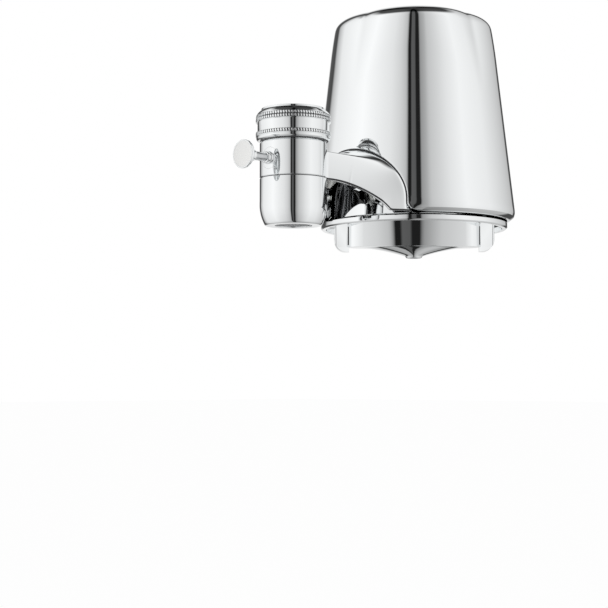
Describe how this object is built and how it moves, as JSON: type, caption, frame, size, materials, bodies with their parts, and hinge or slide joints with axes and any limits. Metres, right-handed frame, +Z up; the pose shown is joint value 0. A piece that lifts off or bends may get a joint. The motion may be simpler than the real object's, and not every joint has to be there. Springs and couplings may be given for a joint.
{
  "type": "faucet mount water filter",
  "caption": "Chrome water filter that screws on a faucet: a diverter with a pull knob, a short arm and a bell-shaped filter housing with a twist-off cap.",
  "frame": {"origin": "on the faucet axis, at the middle of the swivel collar's thread", "axes": "+Z up along the faucet axis, +X along the arm from the diverter to the filter housing, +Y to the left of the arm"},
  "size_m": [0.1451, 0.0876, 0.1038],
  "materials": {
    "chrome": "mirror",
    "steel": "brushed",
    "plated_brass": "satin",
    "rubber": "matte",
    "white_plastic": "matte",
    "grey_plastic": "matte",
    "carbon": "matte",
    "filter_cloth": "matte"
  },
  "bodies": {
    "housing": {"inlet_washer": "rubber", "inlet_screen": "steel", "inlet_nipple": "plated_brass", "nipple_o_ring": "rubber", "diverter_body": "chrome", "cup_o_ring": "rubber", "outlet_cup": "chrome", "aerator_insert": "grey_plastic", "gland_bushing": "chrome", "gland_o_ring": "rubber", "return_spring": "steel", "union_nut": "plated_brass", "feed_tube": "plated_brass", "arm_shell": "chrome", "arm_screws": "steel", "outer_cover": "chrome", "filter_body": "chrome"},
    "collar": {"swivel_collar": "chrome"},
    "knob": {"pull_knob": "chrome", "valve_stem": "steel", "stem_o_rings": "rubber", "valve_disc": "rubber"},
    "cap": {"bottom_cap": "chrome", "cap_o_ring": "rubber", "outlet_nozzle": "grey_plastic", "cartridge_bottom_cap": "white_plastic", "cartridge_top_cap": "white_plastic", "carbon_block": "carbon", "prefilter_wrap": "filter_cloth", "centre_tube": "white_plastic"}
  },
  "joints": [
    {"name": "collar_spin", "type": "hinge", "parent": "housing", "child": "collar", "pos_m": [0, 0, 0], "axis": [0, 0, 1], "continuous": true},
    {"name": "knob_pull", "type": "slide", "parent": "housing", "child": "knob", "axis": [1, 0, 0], "range_m": [0, 0.006], "deforming": ["return_spring"]},
    {"name": "cap_twist", "type": "hinge", "parent": "housing", "child": "cap", "pos_m": [0.0736, 0, -0.0357], "axis": [0, 0, 1], "range_deg": [0, 60]}
  ]
}
